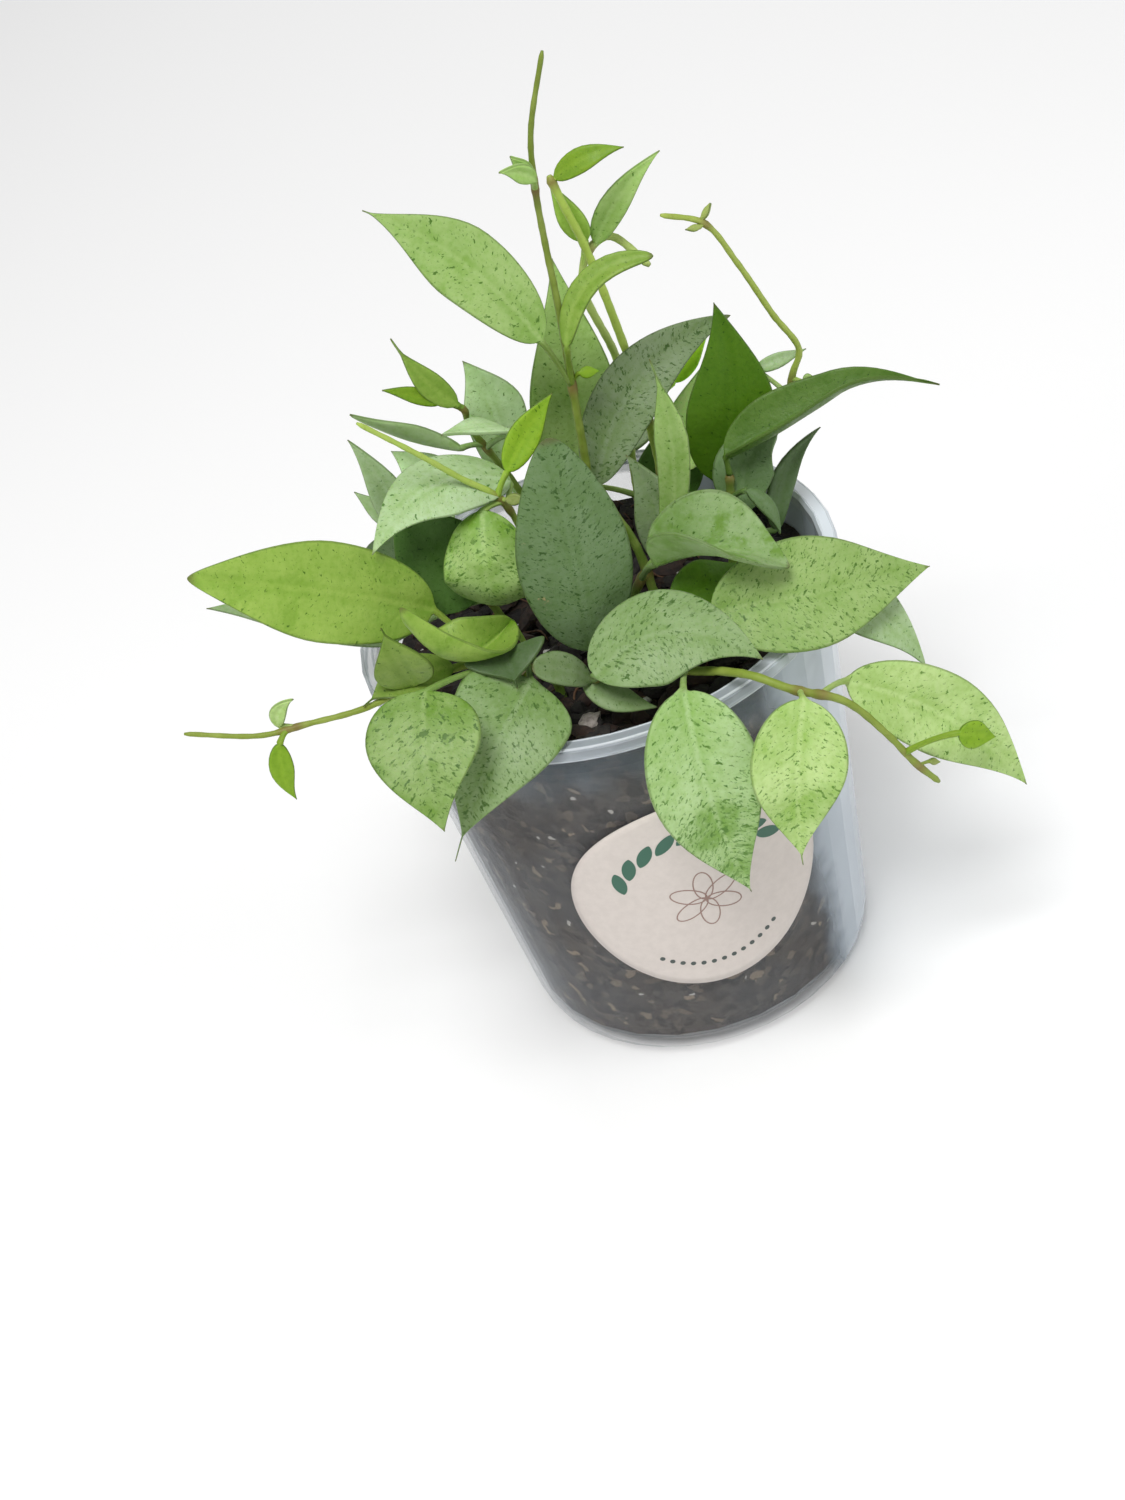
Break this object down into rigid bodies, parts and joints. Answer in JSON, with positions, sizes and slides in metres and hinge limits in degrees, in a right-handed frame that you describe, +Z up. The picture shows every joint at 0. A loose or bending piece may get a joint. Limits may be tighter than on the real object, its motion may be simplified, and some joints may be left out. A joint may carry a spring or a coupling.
{
  "type": "potted hoya",
  "caption": "Small trailing hoya with pointed, flecked mint-green leaves on thin stems, in a clear round nursery pot with a blank round sticker.",
  "frame": {"origin": "middle of the pot's underside, on the surface that the pot stands on", "axes": "+Z up, from the pot's floor to the growing tips; -Y is the front, where the sticker is; +X is to the right seen from the front"},
  "size_m": [0.1672, 0.1422, 0.2212],
  "materials": {
    "clear_plastic": "clear, slightly milky, smooth",
    "potting_mix": "moist bark and peat crumbs with white perlite",
    "sticker_paper": "satin, off-white",
    "foliage": "thick waxy leaf, low sheen, dark green flecks"
  },
  "bodies": {
    "root": {"pot": "clear_plastic", "soil": "potting_mix", "sticker": "sticker_paper", "stem_upright": "foliage", "stem_pale": "foliage", "stem_behind": "foliage", "stem_right_shoot": "foliage", "stem_left_shoot": "foliage", "stem_bud": "foliage", "stem_left": "foliage", "runner_left": "foliage", "stem_front_left": "foliage", "stem_centre": "foliage", "stem_middle": "foliage", "stem_right": "foliage", "stem_right_low": "foliage", "stem_front": "foliage", "runner_right": "foliage", "stem_rear_left": "foliage", "stem_rear": "foliage", "stem_rear_right": "foliage"}
  },
  "joints": []
}
